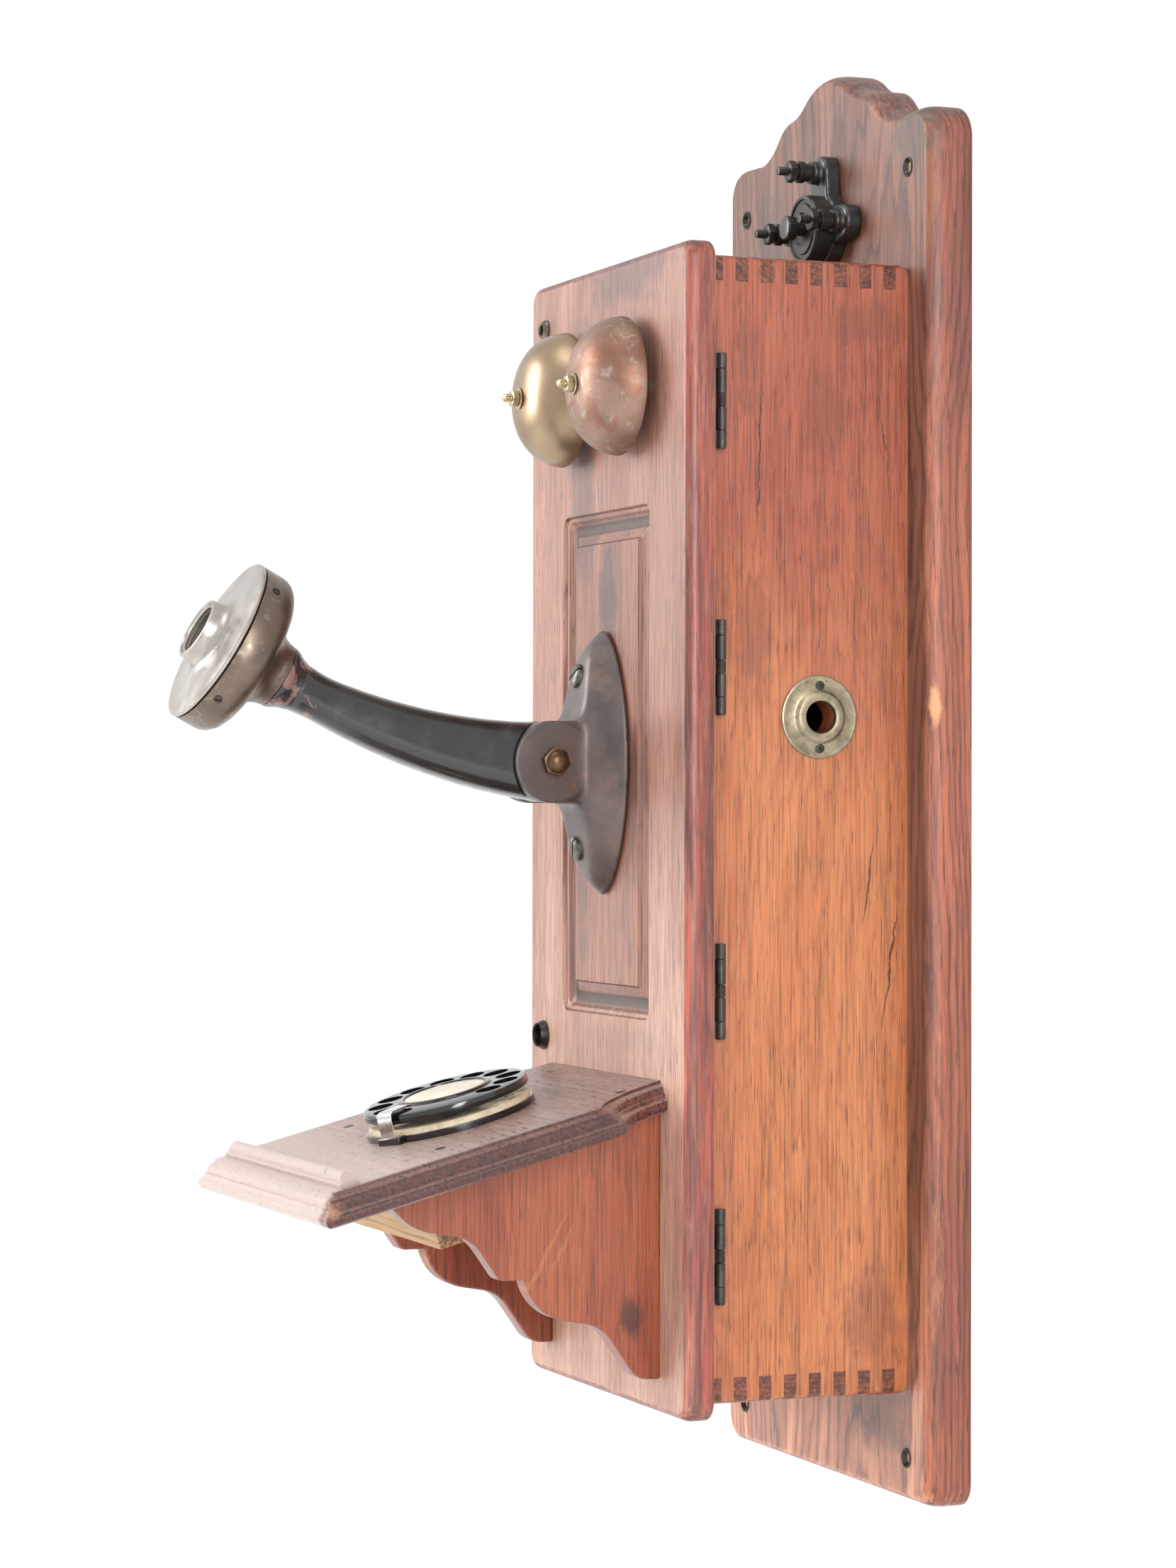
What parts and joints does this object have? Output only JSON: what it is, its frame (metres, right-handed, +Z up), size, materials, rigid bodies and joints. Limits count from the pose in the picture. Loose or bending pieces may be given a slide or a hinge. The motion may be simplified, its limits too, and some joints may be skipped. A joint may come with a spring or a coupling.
{
  "type": "wooden wall telephone",
  "caption": "Upright wooden wall telephone with bells, a tilting transmitter arm, a hinged front and a sloping writing shelf that carries a rotary dial.",
  "frame": {"origin": "middle of the four wall screws, on the wall face of the backboard", "axes": "+Z up, -Y out of the wall towards the user, +X to the user's right"},
  "size_m": [0.2537, 0.3496, 0.681],
  "materials": {
    "backboard_wood": "worn varnish with grey streaks",
    "box_wood": "worn orange-brown varnish",
    "door_wood": "washed-out fine grain",
    "bracket_wood": "rich orange-red varnish",
    "shelf_wood": "worn pinkish grey with a dark red edge",
    "pine": "bare pale pine",
    "black_iron": "glossy black enamel with primer chips",
    "worn_iron": "worn black enamel with rust",
    "dark_metal": "aged dark metal",
    "bell_brass": "satin golden brass",
    "bell_tarnished": "tarnished pinkish brass with spots",
    "aged_brass": "aged greenish brass",
    "brass_nut": "bright worn brass",
    "transmitter_metal": "worn nickel over brass",
    "steel": "dull steel",
    "chrome": "polished",
    "black_enamel": "glossy black",
    "cream_card": "satin cream",
    "winding": "waxed winding",
    "tin_case": "dull tinned case"
  },
  "bodies": {
    "cabinet": {"backboard": "backboard_wood", "wall_screw_cups": "dark_metal", "box_left_side": "box_wood", "box_right_side": "box_wood", "box_top": "box_wood", "box_bottom": "box_wood", "hinge_box_leaves": "aged_brass", "crank_escutcheon": "aged_brass", "escutcheon_screws": "steel", "arrester_base": "black_iron", "arrester_disc": "dark_metal", "arrester_knob": "black_enamel", "binding_posts": "dark_metal", "binding_nuts": "dark_metal", "hook_plate": "aged_brass", "hook_frame": "steel", "hook_pin": "steel", "hook_contacts": "brass_nut", "induction_coil": "winding", "condenser": "tin_case", "terminal_strip": "pine"},
    "door": {"door": "door_wood", "hinge_door_leaves": "aged_brass", "hinge_pins": "aged_brass", "bell_left": "bell_brass", "bell_right": "bell_tarnished", "bell_posts": "brass_nut", "bell_nuts": "brass_nut", "ringer_frame": "dark_metal", "ringer_coils": "winding", "ringer_pin": "steel", "cord_grommet": "dark_metal", "upper_grommet": "dark_metal", "arm_base": "worn_iron", "arm_base_screws": "dark_metal", "pivot_bolt": "worn_iron", "pivot_nut": "worn_iron", "writing_shelf": "shelf_wood", "pencil_stop": "shelf_wood", "bracket_left": "bracket_wood", "bracket_right": "bracket_wood", "dial_well_front": "pine", "dial_well_floor": "pine", "dial_cup": "black_enamel", "dial_number_plate": "cream_card", "finger_stop": "chrome", "dial_plate": "aged_brass"},
    "arm": {"transmitter_arm": "black_iron", "transmitter_collar": "black_iron", "transmitter_cup": "transmitter_metal", "transmitter_face": "transmitter_metal", "transmitter_button": "tin_case", "rim_screws": "steel"},
    "dial": {"finger_wheel": "black_enamel", "dial_card": "cream_card", "dial_shaft": "steel"},
    "governor": {"governor": "brass_nut"},
    "hook": {"hook_lever": "dark_metal"},
    "clapper": {"clapper": "brass_nut"}
  },
  "joints": [
    {"name": "door_hinge", "type": "hinge", "parent": "cabinet", "child": "door", "pos_m": [0.0946, -0.1183, 0], "axis": [0, 0, 1], "range_deg": [0, 110]},
    {"name": "arm_tilt", "type": "hinge", "parent": "door", "child": "arm", "pos_m": [0, -0.17, 0.023], "axis": [1, 0, 0], "range_deg": [-20, 35]},
    {"name": "dial_turn", "type": "hinge", "parent": "door", "child": "dial", "pos_m": [0, -0.21477, -0.14471], "axis": [0, -0.2588, 0.9659], "range_deg": [-330, 0], "stiffness_Nm_per_rad": 0.008, "springref_deg": 85.94},
    {"name": "governor_spin", "type": "hinge", "parent": "door", "child": "governor", "pos_m": [0, -0.19034, -0.13816], "axis": [0, -0.2588, 0.9659], "range_deg": [-5, 1655]},
    {"name": "hook_drop", "type": "hinge", "parent": "cabinet", "child": "hook", "pos_m": [-0.062, -0.072, 0.108], "axis": [0, -1, 0], "range_deg": [0, 8], "stiffness_Nm_per_rad": 0.5, "springref_deg": -17.19},
    {"name": "clapper_swing", "type": "hinge", "parent": "door", "child": "clapper", "pos_m": [0, -0.0993, 0.149], "axis": [0, 1, 0], "range_deg": [-3.5, 3.5], "stiffness_Nm_per_rad": 0.05}
  ],
  "couplings": [
    {"joint": "governor_spin", "follows": "dial_turn", "ratio": -5}
  ]
}
